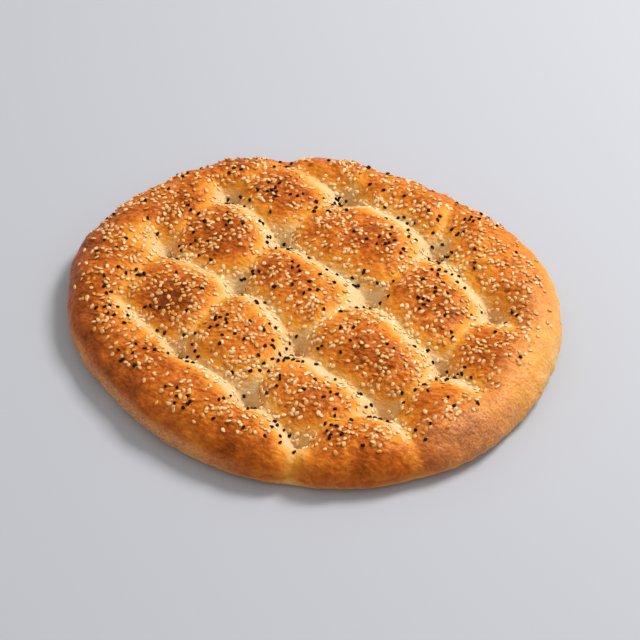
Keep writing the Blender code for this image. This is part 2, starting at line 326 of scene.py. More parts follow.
def plain_loaf(bread, lattice):
    """The loaf before it is pressed, for box lattice coordinates, each from -1 to 1. Of each point it
    gives the direction and the distance from the middle, the height, how its surface faces outward
    and upward, the distance in from the waist, and how far in under the waist, from 0 to 1."""
    u, v, w = lattice.T
    disc_x = u * np.sqrt(1.0 - v ** 2 / 2.0)
    disc_y = v * np.sqrt(1.0 - u ** 2 / 2.0)
    angle = np.arctan2(disc_y, disc_x)
    reach = np.minimum(np.hypot(disc_x, disc_y), 1.0)
    waist = outline_radius(bread, angle)

    # From the top's edge down the rim to the waist, then in under it
    rim_arc = quarter_arc(bread.rim_width, bread.rim_rise)
    under_arc = quarter_arc(bread.under_width, bread.waist_height)
    run = (1.0 - w) / 2.0 * (rim_arc + under_arc)
    rim_turn = math.pi / 2.0 * (1.0 - np.clip(run / rim_arc, 0.0, 1.0))
    under_turn = math.pi / 2.0 * np.clip((run - rim_arc) / under_arc, 0.0, 1.0)
    below = run > rim_arc

    radius = np.where(
        below,
        waist - bread.under_width * (1.0 - np.cos(under_turn)),
        (waist - bread.rim_width) * reach + bread.rim_width * np.cos(rim_turn),
    )
    height = np.where(
        below,
        bread.waist_height * (1.0 - np.sin(under_turn)),
        bread.waist_height + bread.rim_rise * np.sin(rim_turn) + bread.crown * (1.0 - reach ** 2),
    )
    outward = np.where(below, np.cos(under_turn) / bread.under_width, np.cos(rim_turn) / bread.rim_width)
    upward = np.where(below, -np.sin(under_turn) / bread.waist_height, np.sin(rim_turn) / bread.rim_rise)
    steepness = np.hypot(outward, upward)
    under = np.where(below, under_turn / (math.pi / 2.0), 0.0)
    return Loaf(angle, radius, height, outward / steepness, upward / steepness, waist - radius, under)


def crust_points(bread, lattice):
    """Points of the crust for box lattice coordinates, and what is known there: how far the grooves shade it
    from the oven, shifted so as to paint light and shade on their flanks, the distance in from the waist, and
    how far in under it."""
    loaf = plain_loaf(bread, lattice)
    x = loaf.radius * np.cos(loaf.angle)
    y = loaf.radius * np.sin(loaf.angle)
    fade = RIM_SHARE + (1.0 - RIM_SHARE) * smoothstep(loaf.inset, 0.0, RIM_FADE)
    long_depth, cross_depth, pit = groove_depth(bread, x, y)
    press = (long_depth + cross_depth + pit) * fade
    lumps = unevenness(np.stack([x, y, loaf.height], axis=1), DOUGH_LUMPS)
    shift = (lumps - press) * smoothstep(loaf.height, 0.0, bread.waist_height)

    # Shifted so that flanks facing the main light are painted paler and those facing away darker: painted
    # light and shade
    long_shade, cross_shade, pit_shade = groove_depth(bread, x + PAINTED_LIGHT_SHIFT, y + PAINTED_LIGHT_SHIFT)
    shade = (np.hypot(long_shade, CROSS_SHADE * cross_shade) + PIT_SHADE * pit_shade) * fade

    x = x + shift * loaf.outward * np.cos(loaf.angle)
    y = y + shift * loaf.outward * np.sin(loaf.angle)
    height = np.maximum(loaf.height + shift * loaf.upward, 0.0)
    middle = outline_middle(bread)
    points = np.stack([x - middle[0], y - middle[1], height], axis=1)
    return points, shade, loaf.inset, loaf.under


def box_lattice(cells, rows):
    """A box open below, its top cut into cells and its sides into rows."""
    bm = bmesh.new()
    bmesh.ops.create_cube(bm, size=2.0)
    floor = [face for face in bm.faces if face.normal.z < -0.5]
    bmesh.ops.delete(bm, geom=floor, context="FACES_ONLY")

    def rise(edge):
        return abs(edge.verts[0].co.z - edge.verts[1].co.z)

    level = [edge for edge in bm.edges if rise(edge) < 1.0]
    bmesh.ops.subdivide_edges(bm, edges=level, cuts=cells - 1, use_grid_fill=True)
    upright = [edge for edge in bm.edges if rise(edge) > 1.0]
    bmesh.ops.subdivide_edges(bm, edges=upright, cuts=rows - 1, use_grid_fill=True)
    return bm


# ---------------------------------------------------------------- how the oven and the hand leave it, and painted light and shade

TOP_CELLS = 252          # along each side of the lattice's top
RIM_ROWS = 28            # down its sides
PALE_DEPTH = 8.2 * MM    # the crust stays unbrowned where the grooves shade it this much
GROOVE_BAKE = 0.06       # how far it browned there
DOME_BAKE = 0.65         # how much farther on the domes
FRONT_BAKE = 0.02        # how much farther still along the front
UNDER_BAKE = -0.22       # and how much less beneath
LEAST_BAKE = 0.02        # it browned this far everywhere
GROOVE_CALM = 0.6        # the share of the fine relief that the grooves' floors lack

# Stretches of the edge. Each lies in a direction from the middle, where the facing towards it runs
# from least to most, and fades in from its inner line to its outer line, measured in from the
# waist. Its share is what it adds there.
Stretch = namedtuple("Stretch", "degrees least most inner outer share")
ALL_ROUND = (0, -2.0, -1.0)   # because no facing is below -1
EDGE_BAKES_AND_LIGHT = (
    Stretch(*ALL_ROUND, 22 * MM, 7 * MM, 0.07),         # the shoulder
    Stretch(*ALL_ROUND, 2.5 * MM, 0 * MM, -0.10),       # the rubbed waist
    # The next four darken the left, which faces away from the main light, and pale the back right and the
    # right, which face the main and side lights: partly less browned crust, partly painted light and shade
    Stretch(200, 0.30, 0.90, 40 * MM, 15 * MM, 0.04),   # the left
    Stretch(60, 0.70, 1.00, 26 * MM, 6 * MM, -0.12),    # the back right
    Stretch(17, 0.70, 0.95, 24 * MM, 4 * MM, -0.24),    # the right
    Stretch(17, 0.88, 0.98, 7 * MM, 1 * MM, -0.15),     # and its outermost band
)
FRONT_FLOUR = Stretch(-124, 0.75, 1.00, 3 * MM, 0 * MM, 0.40)
# This pale colour on the right also paints the broad sheen that the lights leave there: partly real dusting,
# partly painted sheen
RIGHT_FLOUR_AND_SHEEN = Stretch(-6, 0.74, 0.96, 32 * MM, 10 * MM, 0.27)
UNDER_FLOUR = 0.45       # flour beneath
# In the deepest pits it also lightens their shade: partly real dusting, partly painted light
PIT_FLOUR_AND_LIGHT = 0.50         # and in the deepest pits

SEED_MARGIN = 2 * MM     # seeds thin out over this much of the edge
FRONT_MARGIN = 18 * MM   # over this much more of it at the front
RIGHT_MARGIN = 12 * MM   # and over this much more on the right
SEED_FADE = 4 * MM       # they reach their full number this much farther in
GROOVE_SEEDS = 0.7       # how thickly they lie in deep grooves
DOME_SEEDS = 0.3         # how much more thickly on the domes
SEED_FALL = 8 * MM       # the depth by which most of that is gone
MEAN_PATCH = 0.7         # how thickly they lie in a middling patch
LEAST_PATCH = 0.25       # and in the sparsest
NIGELLA_SHARE = 0.07     # the share of them that is nigella
NIGELLA_STRINGS = 0.18   # how much more of it the hand strewed along the grooves


def facing(points, degrees):
    """How squarely each point lies in a direction from the middle: 1 straight towards it, 0 across."""
    towards = math.radians(degrees)
    run = points[:, 0] * math.cos(towards) + points[:, 1] * math.sin(towards)
    return run / np.maximum(np.hypot(points[:, 0], points[:, 1]), MM)


def presence(points, inset, stretch):
    """How far each point is in a stretch of the edge, from 0 to 1."""
    sideways = smoothstep(facing(points, stretch.degrees), stretch.least, stretch.most)
    return sideways * smoothstep(-inset, -stretch.inner, -stretch.outer)


def browning_and_light(points, shade, inset, under):
    """How far each point has browned, from 0 for raw cream dough to 1 for dark toast; painted light and shade
    are mixed in.
    """
    browned = 1.0 - smoothstep(shade, 0.5 * MM, PALE_DEPTH)
    brown = GROOVE_BAKE + DOME_BAKE * browned
    x, y = points[:, 0], points[:, 1]
    for toast in TOASTS_AND_SHADE:
        away = np.hypot(x - toast.x, y - toast.y) / toast.radius
        brown = brown + toast.heat * np.exp(-away ** 2) * browned
    for stretch in EDGE_BAKES_AND_LIGHT:
        brown = brown + stretch.share * presence(points, inset, stretch)
    front = smoothstep(-y, 50 * MM, 110 * MM) * smoothstep(-inset, -34 * MM, -16 * MM)
    brown = brown + FRONT_BAKE * front + unevenness(points, BAKE_LUMPS)
    brown = brown + UNDER_BAKE * smoothstep(under, 0.0, 0.4)
    return np.clip(brown, LEAST_BAKE, 1.0)


def flouring_and_light(points, shade, inset, under):
    """How thickly the crust is dusted floury pale: most beneath and in the deepest pits, some on the right of
    the edge, and a thin line low on the front left. In the pits this also paints light into their shade, and
    on the right it paints the lights' broad sheen."""
    left = presence(points, inset, FRONT_FLOUR)
    right = presence(points, inset, RIGHT_FLOUR_AND_SHEEN)
    deepest = smoothstep(shade, 7 * MM, 12 * MM)
    beneath = smoothstep(under, 0.02, 0.45) * (1.0 - 0.5 * right)
    return (FRONT_FLOUR.share * left + PIT_FLOUR_AND_LIGHT * deepest
            + RIGHT_FLOUR_AND_SHEEN.share * right + UNDER_FLOUR * beneath)


def seeding(points, shade, inset, under):
    """How thickly seeds lie at each point, and the share of them that is nigella."""
    towards_front = smoothstep(-points[:, 1], -70 * MM, 110 * MM)
    towards_right = smoothstep(points[:, 0], 70 * MM, 132 * MM)
    bare = SEED_MARGIN + FRONT_MARGIN * towards_front + RIGHT_MARGIN * towards_right
    thick = smoothstep(inset, 0.3 * bare, bare + SEED_FADE)
    thick = thick * (GROOVE_SEEDS + DOME_SEEDS * np.exp(-shade / SEED_FALL))
    thick = thick * np.clip(MEAN_PATCH + unevenness(points, SEED_LUMPS), LEAST_PATCH, 1.0)
    strings = smoothstep(shade, 5 * MM, 9 * MM)
    black = NIGELLA_SHARE + unevenness(points, NIGELLA_LUMPS) + NIGELLA_STRINGS * strings
    return np.where(under > 0.0, 0.0, thick), np.clip(black, 0.01, 0.6)


def fine_relief(points, shade):
    """How much of the fine relief each point has: all on the domes, less in the grooves, none below."""
    off_base = smoothstep(points[:, 2], 0.5 * MM, 5 * MM)
    return off_base * (1.0 - GROOVE_CALM * smoothstep(shade, 2 * MM, PALE_DEPTH))


def crust_mesh(bread):
    """The whole crust as a closed mesh with a flat underside, and its attributes."""
    bm = box_lattice(TOP_CELLS, RIM_ROWS)
    lattice = np.array([vert.co[:] for vert in bm.verts])
    points, shade, inset, under = crust_points(bread, lattice)
    for vert, point in zip(bm.verts, points):
        vert.co = point
    rim = [edge for edge in bm.edges if edge.is_boundary]
    floor = bmesh.ops.edgeloop_fill(bm, edges=rim)["faces"]
    bmesh.ops.recalc_face_normals(bm, faces=bm.faces[:])
    for face in bm.faces:
        face.smooth = True
    for face in floor:
        face.smooth = False
        for edge in face.edges:
            edge.smooth = False
    mesh = bpy.data.meshes.new("crust")
    bm.to_mesh(mesh)
    bm.free()

    thick, black = seeding(points, shade, inset, under)
    values = {
        "bake": browning_and_light(points, shade, inset, under),
        "skin": fine_relief(points, shade),
        "floured": flouring_and_light(points, shade, inset, under),
        "seeding": thick,
        "black_share": black,
    }
    for name, value in values.items():
        mesh.attributes.new(name, "FLOAT", "POINT").data.foreach_set("value", value.astype(np.float32))
    return mesh


# ---------------------------------------------------------------- nodes


def plug(tree, socket, value):
    """Give a socket a plain value, or link it to a socket or to the first output of a node."""
    if isinstance(value, bpy.types.Node):
        value = next(output for output in value.outputs if output.enabled)
    if isinstance(value, bpy.types.NodeSocket):
        tree.links.new(value, socket)
    else:
        socket.default_value = value


def add(tree, kind, settings=None, inputs=None):
    """Add a node with its settings and its inputs. An input is found by its name, or by its number
    among those in use."""
    item = tree.nodes.new(kind)
    for name, value in (settings or {}).items():
        setattr(item, name, value)
    used = [socket for socket in item.inputs if socket.enabled]
    for key, value in (inputs or {}).items():
        socket = used[key] if isinstance(key, int) else next(s for s in used if s.name == key)
        plug(tree, socket, value)
    return item


def geometry_tree(name, sockets):
    """A geometry tree with named inputs, and the node that gives them."""
    tree = bpy.data.node_groups.new(name, "GeometryNodeTree")
    tree.interface.new_socket("Geometry", in_out="INPUT", socket_type="NodeSocketGeometry")
    for socket, kind in sockets.items():
        tree.interface.new_socket(socket, in_out="INPUT", socket_type="NodeSocket" + kind)
    tree.interface.new_socket("Geometry", in_out="OUTPUT", socket_type="NodeSocketGeometry")
    return tree, add(tree, "NodeGroupInput").outputs


def close_tree(tree, geometry, material):
    """End a tree in realized instances with their material."""
    real = add(tree, "GeometryNodeRealizeInstances", inputs={"Geometry": geometry})
    dressed = add(tree, "GeometryNodeSetMaterial", inputs={"Geometry": real, "Material": material})
    add(tree, "NodeGroupOutput", inputs={"Geometry": dressed})


def plain_mesh(item, tree, values):
    """Run a tree on an object with the given inputs, and keep the mesh that it makes."""
    modifier = item.modifiers.new(tree.name, "NODES")
    modifier.node_group = tree
    for socket in tree.interface.items_tree:
        if socket.in_out == "INPUT" and socket.name in values:
            modifier[socket.identifier] = values[socket.name]
    bpy.context.scene.collection.objects.link(item)
    graph = bpy.context.evaluated_depsgraph_get()
    mesh = bpy.data.meshes.new_from_object(item.evaluated_get(graph))
    item.modifiers.clear()
    item.data = mesh
    mesh.name = item.name


def relief_tree():
    """Fine wrinkles and blisters that lift a crust along its normals, where its skin is."""
    tree, given = geometry_tree("Crust relief", {
        "Wrinkle size": "Float", "Wrinkle height": "Float",
        "Blister spacing": "Float", "Blister height": "Float", "Material": "Material",
    })
    place = add(tree, "GeometryNodeInputPosition")
    skin = add(tree, "GeometryNodeInputNamedAttribute", {"data_type": "FLOAT"}, {"Name": "skin"})

    fineness = add(tree, "ShaderNodeMath", {"operation": "DIVIDE"}, {0: 1.0, 1: given["Wrinkle size"]})
    wrinkles = add(tree, "ShaderNodeTexNoise", inputs={
        "Vector": place, "Scale": fineness, "Detail": 2.0, "Roughness": 0.6, "Distortion": 0.4})
    swing = add(tree, "ShaderNodeMapRange", inputs={
        "Value": wrinkles, "From Min": 0.25, "From Max": 0.75, "To Min": -1.0, "To Max": 1.0})
    wrinkled = add(tree, "ShaderNodeMath", {"operation": "MULTIPLY"}, {0: swing, 1: given["Wrinkle height"]})

    # Each cell draws a number. Above 0.55 it holds a blister, which is larger the higher the number
    spread = add(tree, "ShaderNodeMath", {"operation": "DIVIDE"}, {0: 1.0, 1: given["Blister spacing"]})
    cells = add(tree, "ShaderNodeTexVoronoi", inputs={"Vector": place, "Scale": spread, "Randomness": 1.0})
    chance = add(tree, "ShaderNodeSeparateXYZ", inputs={"Vector": cells.outputs["Color"]})
    size = add(tree, "ShaderNodeMapRange", inputs={
        "Value": chance, "From Min": 0.55, "From Max": 1.0, "To Min": 0.0, "To Max": 0.34})
    closeness = add(tree, "ShaderNodeMath", {"operation": "DIVIDE"}, {0: cells.outputs["Distance"], 1: size})
    bubble = add(tree, "ShaderNodeMapRange", {"interpolation_type": "SMOOTHSTEP"}, {
        "Value": closeness, "From Min": 1.0, "From Max": 0.2, "To Min": 0.0, "To Max": 1.0})
    blistered = add(tree, "ShaderNodeMath", {"operation": "MULTIPLY"},
                    {0: bubble, 1: given["Blister height"]})

    lift = add(tree, "ShaderNodeMath", {"operation": "ADD"}, {0: wrinkled, 1: blistered})
    lift = add(tree, "ShaderNodeMath", {"operation": "MULTIPLY"}, {0: lift, 1: skin})
    normal = add(tree, "GeometryNodeInputNormal")
    offset = add(tree, "ShaderNodeVectorMath", {"operation": "SCALE"}, {"Vector": normal, "Scale": lift})
    lifted = add(tree, "GeometryNodeSetPosition", inputs={"Geometry": given["Geometry"], "Offset": offset})
    close_tree(tree, lifted, given["Material"])
    return tree


def seed_shape(tree, given):
    """A flattened drop with its point along +X, from a ball whose poles become its ends."""
    ball = add(tree, "GeometryNodeMeshUVSphere", inputs={
        "Segments": given["Segments"], "Rings": given["Rings"], "Radius": 0.5})
    place = add(tree, "ShaderNodeSeparateXYZ", inputs={"Vector": add(tree, "GeometryNodeInputPosition")})
    along = place.outputs["Z"]
    across = place.outputs["Y"]
    down = place.outputs["X"]

    # It narrows towards its point, slowly at first
    forward = add(tree, "ShaderNodeMath", {"operation": "ADD"}, {0: along, 1: 0.5})
    eased = add(tree, "ShaderNodeMath", {"operation": "POWER"}, {0: forward, 1: 1.6})
    pinch = add(tree, "ShaderNodeMath", {"operation": "MULTIPLY"}, {0: eased, 1: given["Taper"]})
    full = add(tree, "ShaderNodeMath", {"operation": "SUBTRACT"}, {0: 1.0, 1: pinch})
    wide = add(tree, "ShaderNodeMath", {"operation": "MULTIPLY"}, {0: full, 1: given["Width"]})
    thick = add(tree, "ShaderNodeMath", {"operation": "MULTIPLY"}, {0: full, 1: given["Thickness"]})
    thick = add(tree, "ShaderNodeMath", {"operation": "MULTIPLY"}, {0: thick, 1: -1.0})
    x = add(tree, "ShaderNodeMath", {"operation": "MULTIPLY"}, {0: along, 1: given["Length"]})
    y = add(tree, "ShaderNodeMath", {"operation": "MULTIPLY"}, {0: across, 1: wide})
    z = add(tree, "ShaderNodeMath", {"operation": "MULTIPLY"}, {0: down, 1: thick})
    point = add(tree, "ShaderNodeCombineXYZ", inputs={"X": x, "Y": y, "Z": z})
    drop = add(tree, "GeometryNodeSetPosition", inputs={"Geometry": ball, "Position": point})

    # 0 on its upper face, 1 on its flanks and below
    flank = add(tree, "ShaderNodeMapRange", inputs={
        "Value": down, "From Min": -0.1, "From Max": -0.36, "To Min": 1.0, "To Max": 0.0})
    drop = add(tree, "GeometryNodeStoreNamedAttribute", {"data_type": "FLOAT", "domain": "POINT"},
               {"Geometry": drop, "Name": "flank", "Value": flank})
    return add(tree, "GeometryNodeSetShadeSmooth", inputs={"Geometry": drop, "Shade Smooth": given["Smooth"]})


# Fixed random seeds of each grain's height, turn, size and tone
HEIGHT_DRAW = 11
TURN_DRAW = 12
SIZE_DRAW = 13
TONE_DRAW = 14


def sprinkle_tree():
    """Strew one kind of seed over a crust. Both kinds share the same places: at each, a draw against
    the share of nigella there settles which kind it is."""
    tree, given = geometry_tree("Sprinkled seeds", {
        "Gap": "Float", "Density": "Float", "Pattern": "Int", "Black": "Bool",
        "Length": "Float", "Width": "Float", "Thickness": "Float", "Taper": "Float",
        "Segments": "Int", "Rings": "Int", "Smooth": "Bool", "Spread": "Float", "Tilt": "Float",
        "Sunk": "Float", "Proud": "Float", "Material": "Material",
    })
    density = add(tree, "GeometryNodeInputNamedAttribute", {"data_type": "FLOAT"}, {"Name": "seeding"})
    black = add(tree, "GeometryNodeInputNamedAttribute", {"data_type": "FLOAT"}, {"Name": "black_share"})
    places = add(tree, "GeometryNodeDistributePointsOnFaces", {"distribute_method": "POISSON"}, {
        "Mesh": given["Geometry"], "Distance Min": given["Gap"], "Density Max": given["Density"],
        "Density Factor": density, "Seed": given["Pattern"]})

    draw = add(tree, "FunctionNodeRandomValue", {"data_type": "FLOAT"}, {"Seed": given["Pattern"]})
    is_black = add(tree, "FunctionNodeCompare", {"data_type": "FLOAT", "operation": "LESS_THAN"},
                   {"A": draw, "B": black})
    other = add(tree, "FunctionNodeBooleanMath", {"operation": "XOR"}, {0: is_black, 1: given["Black"]})
    kept = add(tree, "GeometryNodeDeleteGeometry", {"domain": "POINT"},
               {"Geometry": places.outputs["Points"], "Selection": other})

    depth = add(tree, "FunctionNodeRandomValue", {"data_type": "FLOAT"},
                {"Min": given["Sunk"], "Max": given["Proud"], "Seed": HEIGHT_DRAW})
    depth = add(tree, "ShaderNodeMath", {"operation": "MULTIPLY"}, {0: depth, 1: given["Thickness"]})
    rise = add(tree, "ShaderNodeVectorMath", {"operation": "SCALE"},
               {"Vector": places.outputs["Normal"], "Scale": depth})
    raised = add(tree, "GeometryNodeSetPosition", inputs={"Geometry": kept, "Offset": rise})

    tilt = given["Tilt"]
    back = add(tree, "ShaderNodeMath", {"operation": "MULTIPLY"}, {0: tilt, 1: -1.0})
    least = add(tree, "ShaderNodeCombineXYZ", inputs={"X": back, "Y": back, "Z": 0.0})
    most = add(tree, "ShaderNodeCombineXYZ", inputs={"X": tilt, "Y": tilt, "Z": 2.0 * math.pi})
    angles = add(tree, "FunctionNodeRandomValue", {"data_type": "FLOAT_VECTOR"},
                 {"Min": least, "Max": most, "Seed": TURN_DRAW})
    turned = add(tree, "FunctionNodeRotateRotation", {"rotation_space": "LOCAL"}, {
        "Rotation": places.outputs["Rotation"],
        "Rotate By": add(tree, "FunctionNodeEulerToRotation", inputs={"Euler": angles})})

    small = add(tree, "ShaderNodeMath", {"operation": "SUBTRACT"}, {0: 1.0, 1: given["Spread"]})
    large = add(tree, "ShaderNodeMath", {"operation": "ADD"}, {0: 1.0, 1: given["Spread"]})
    size = add(tree, "FunctionNodeRandomValue", {"data_type": "FLOAT_VECTOR"},
               {"Min": small, "Max": large, "Seed": SIZE_DRAW})
    seeds = add(tree, "GeometryNodeInstanceOnPoints", inputs={
        "Points": raised, "Instance": seed_shape(tree, given), "Rotation": turned, "Scale": size})
    tone = add(tree, "FunctionNodeRandomValue", {"data_type": "FLOAT"}, {"Seed": TONE_DRAW})
    toned = add(tree, "GeometryNodeStoreNamedAttribute", {"data_type": "FLOAT", "domain": "INSTANCE"},
                {"Geometry": seeds, "Name": "tone", "Value": tone})
    close_tree(tree, toned, given["Material"])
    return tree


# ---------------------------------------------------------------- materials


def material_tree(name):
    """A new material, its tree, and its shader."""
    material = bpy.data.materials.new(name)
    material.use_nodes = True
    return material, material.node_tree, material.node_tree.nodes["Principled BSDF"]


def set_shader(tree, shader, inputs):
    """Set or link a shader's own inputs."""
    for name, value in inputs.items():
        plug(tree, shader.inputs[name], value)


def baked_crust(colours):
    """Wheat crust, egg-washed and oven-baked: the thin glaze gives a soft sheen over a finely creased
    skin, which goes from cream in the grooves through gold to toasted brown."""
    material, tree, shader = material_tree("egg-washed baked wheat crust")
    place = add(tree, "ShaderNodeTexCoord").outputs["Object"]
    bake = add(tree, "ShaderNodeAttribute", {"attribute_name": "bake"}).outputs["Fac"]
    seeded = add(tree, "ShaderNodeAttribute", {"attribute_name": "seeding"}).outputs["Fac"]
    floured = add(tree, "ShaderNodeAttribute", {"attribute_name": "floured"}).outputs["Fac"]

    # The skin dried in fine creases that run with the grooves along the bread
    grain = add(tree, "ShaderNodeMapping", inputs={
        "Vector": place, "Rotation": (0.0, 0.0, -math.radians(LONG_GROOVES.degrees)),
        "Scale": (0.6, 1.0, 1.0)})
    creases = add(tree, "ShaderNodeTexNoise", inputs={
        "Vector": grain, "Scale": 1.0 / (2 * MM), "Detail": 2.0, "Roughness": 0.5})

    # It is mottled, and darker in the fine creases, which is painted shade; both are strongest on the browned
    # tops among the seeds, where the darkening also paints the seeds' shade, and weakest in the grooves and
    # on the bare edge
    browned = add(tree, "ShaderNodeMapRange", inputs={
        "Value": bake, "From Min": 0.15, "From Max": 0.7, "To Min": 0.25, "To Max": 1.0})
    topmost = add(tree, "ShaderNodeMapRange", inputs={
        "Value": seeded, "From Min": 0.0, "From Max": 0.5, "To Min": 0.45, "To Max": 1.0})
    uneven = add(tree, "ShaderNodeMath", {"operation": "MULTIPLY"}, {0: browned, 1: topmost})
    mottle = add(tree, "ShaderNodeTexNoise", inputs={
        "Vector": place, "Scale": 1.0 / (4 * MM), "Detail": 3.0, "Roughness": 0.6})
    coarse = add(tree, "ShaderNodeMapRange", inputs={
        "Value": mottle, "From Min": 0.25, "From Max": 0.75, "To Min": -0.11, "To Max": 0.11})
    # Painted shade in the creases
    fine = add(tree, "ShaderNodeMapRange", inputs={
        "Value": creases, "From Min": 0.3, "From Max": 0.7, "To Min": 0.16, "To Max": -0.16})
    fine = add(tree, "ShaderNodeMath", {"operation": "MULTIPLY"}, {0: fine, 1: uneven})
    coarse = add(tree, "ShaderNodeMath", {"operation": "MULTIPLY"}, {0: coarse, 1: uneven})
    level = add(tree, "ShaderNodeMath", {"operation": "ADD"}, {0: bake, 1: coarse})
    level = add(tree, "ShaderNodeMath", {"operation": "ADD"}, {0: level, 1: fine})

    # From cream dough to dark toast
    stops = (
        (0.05, colours.cream), (0.22, colours.straw), (0.40, colours.gold),
        (0.60, colours.amber), (0.78, colours.brown), (1.0, colours.toast))
    skin = add(tree, "ShaderNodeValToRGB", inputs={"Fac": level})
    elements = skin.color_ramp.elements
    while len(elements) < len(stops):
        elements.new(1.0)
    for element, (position, value) in zip(elements, stops):
        element.position = position
        element.color = value

    # Flour clings in specks, drawn at 1 mm because finer ones would not show
    specks = add(tree, "ShaderNodeTexNoise", inputs={
        "Vector": place, "Scale": 1.0 / (1.1 * MM), "Detail": 2.0, "Roughness": 0.6})
    dust_and_light = add(tree, "ShaderNodeMapRange", inputs={"Value": specks, "From Min": 0.3, "From Max": 0.62})
    dust_and_light = add(tree, "ShaderNodeMath", {"operation": "MULTIPLY"}, {0: dust_and_light, 1: floured})
    # On the right this pale colour paints sheen, and in the pits it paints light into their shade
    base = add(tree, "ShaderNodeMix", {"data_type": "RGBA"}, {"Factor": dust_and_light, "A": skin, "B": colours.flour_and_light})

    # Less glaze runs into the grooves, so they are duller
    dull = add(tree, "ShaderNodeMapRange", inputs={
        "Value": level, "From Min": 0.1, "From Max": 0.6, "To Min": 0.55, "To Max": 0.38})

    # The creases stand in relief too, among small pimples
    pimples = add(tree, "ShaderNodeTexVoronoi", {"feature": "SMOOTH_F1"}, {
        "Vector": place, "Scale": 1.0 / (2.2 * MM), "Smoothness": 0.4})
    height = add(tree, "ShaderNodeMath", {"operation": "MULTIPLY_ADD"}, {0: pimples, 1: -0.2, 2: creases})
    bump = add(tree, "ShaderNodeBump", inputs={
        "Height": height, "Strength": 0.65, "Distance": 1.4 * MM})
    set_shader(tree, shader, {
        "Base Color": base, "Roughness": dull, "Normal": bump, "IOR": 1.45,
        "Specular IOR Level": 0.4, "Specular Tint": (1.0, 0.60, 0.25, 1.0),
        "Subsurface Weight": 0.12, "Subsurface Radius": (1.0, 0.5, 0.25), "Subsurface Scale": 1.5 * MM,
    })
    return material


def sesame_skin(colours):
    """Hulled sesame toasted under egg wash: satin, ivory to golden from seed to seed."""
    material, tree, shader = material_tree("toasted hulled sesame")

    # A seed is the more golden the browner the crust under it, and goldenest on its flanks and underside,
    # partly toasted glaze and partly painted shade where it sits in the crust
    tone = add(tree, "ShaderNodeAttribute", {"attribute_name": "tone"}).outputs["Fac"]
    bake = add(tree, "ShaderNodeAttribute", {"attribute_name": "bake"}).outputs["Fac"]
    warmth = add(tree, "ShaderNodeMath", {"operation": "MULTIPLY_ADD"}, {0: bake, 1: 0.5, 2: -0.40})
    level = add(tree, "ShaderNodeMath", {"operation": "MULTIPLY_ADD"}, {0: tone, 1: 0.55, 2: warmth})
    flank = add(tree, "ShaderNodeAttribute", {"attribute_name": "flank"}).outputs["Fac"]
    level = add(tree, "ShaderNodeMath", {"operation": "MULTIPLY_ADD"}, {0: flank, 1: 0.55, 2: level})
    skin = add(tree, "ShaderNodeMix", {"data_type": "RGBA"},
               {"Factor": level, "A": colours.sesame_pale, "B": colours.sesame_golden})
    set_shader(tree, shader, {
        "Base Color": skin, "Roughness": 0.3, "IOR": 1.47, "Specular IOR Level": 0.45,
    })
    return material


def nigella_skin(colours):
    """Dry nigella seed: matt black with a finely netted skin that catches a little light."""
    material, tree, shader = material_tree("dry nigella seed")
    place = add(tree, "ShaderNodeTexCoord").outputs["Object"]
    net = add(tree, "ShaderNodeTexVoronoi", inputs={"Vector": place, "Scale": 1.0 / (0.5 * MM)})
    bump = add(tree, "ShaderNodeBump", inputs={"Height": net, "Strength": 0.6, "Distance": 0.15 * MM})
    tone = add(tree, "ShaderNodeAttribute", {"attribute_name": "tone"}).outputs["Fac"]
    level = add(tree, "ShaderNodeMapRange", inputs={"Value": tone, "To Min": 0.6, "To Max": 1.5})
    skin = add(tree, "ShaderNodeVectorMath", {"operation": "SCALE"},
               {"Vector": colours.nigella[:3], "Scale": level})
    set_shader(tree, shader, {
        "Base Color": skin, "Roughness": 0.55, "Normal": bump, "Specular IOR Level": 0.12})
    return material


def painted_floor(colours):
    """Smooth matt floor paint: even and pale, with no sheen to speak of."""
    material, tree, shader = material_tree("matt floor paint")
    set_shader(tree, shader, {"Base Color": colours.floor, "Roughness": 0.8})
    return material


# ---------------------------------------------------------------- operators and panel

SQUARE_CENTIMETRE = (10 * MM) ** 2
FLOOR_REACH = 4.0                     # metres from the middle to the floor's sides
LOOK_AT = (4.5 * MM, 5.3 * MM, 0.0)   # what the middle of the picture shows
KEY_DISTANCE = 1.6                    # metres from the bread to the main light
KEY_SIZE = 0.5                        # metres along its side

# Weak lights: degrees round the bread and above the horizon, and metres off it and along a side
Lamp = namedtuple("Lamp", "azimuth elevation distance size")
FILL = Lamp(-55, 45, 1.8, 2.2)
SIDE = Lamp(100, 55, 1.8, 2.0)


class PIDE_OT_crust(bpy.types.Operator):
    """Bake the crust that replaces the plain solid"""

    bl_idname = "pide.crust"
    bl_label = "Crust"

    def execute(self, context):
        bread = context.scene.pide_bread
        crust = bpy.data.objects.new("crust", crust_mesh(bread))
        plain_mesh(crust, relief_tree(), {
            "Wrinkle size": bread.wrinkle_size,
            "Wrinkle height": bread.wrinkle_height,
            "Blister spacing": bread.blister_size,
            "Blister height": bread.blister_height,
            "Material": baked_crust(context.scene.pide_colours),
        })
        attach(crust, "root")
        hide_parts("pide")
        return {"FINISHED"}


def sprinkle(context, name, values):
    """Strew one kind of seed on the crust as one joined mesh."""
    sprinkling = context.scene.pide_sprinkling
    seeds = bpy.data.objects.new(name, bpy.data.objects["crust"].data.copy())
    plain_mesh(seeds, sprinkle_tree(), {
        "Gap": sprinkling.gap,
        "Density": sprinkling.count / SQUARE_CENTIMETRE,
        "Pattern": sprinkling.pattern,
        **values,
    })
    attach(seeds, "root")


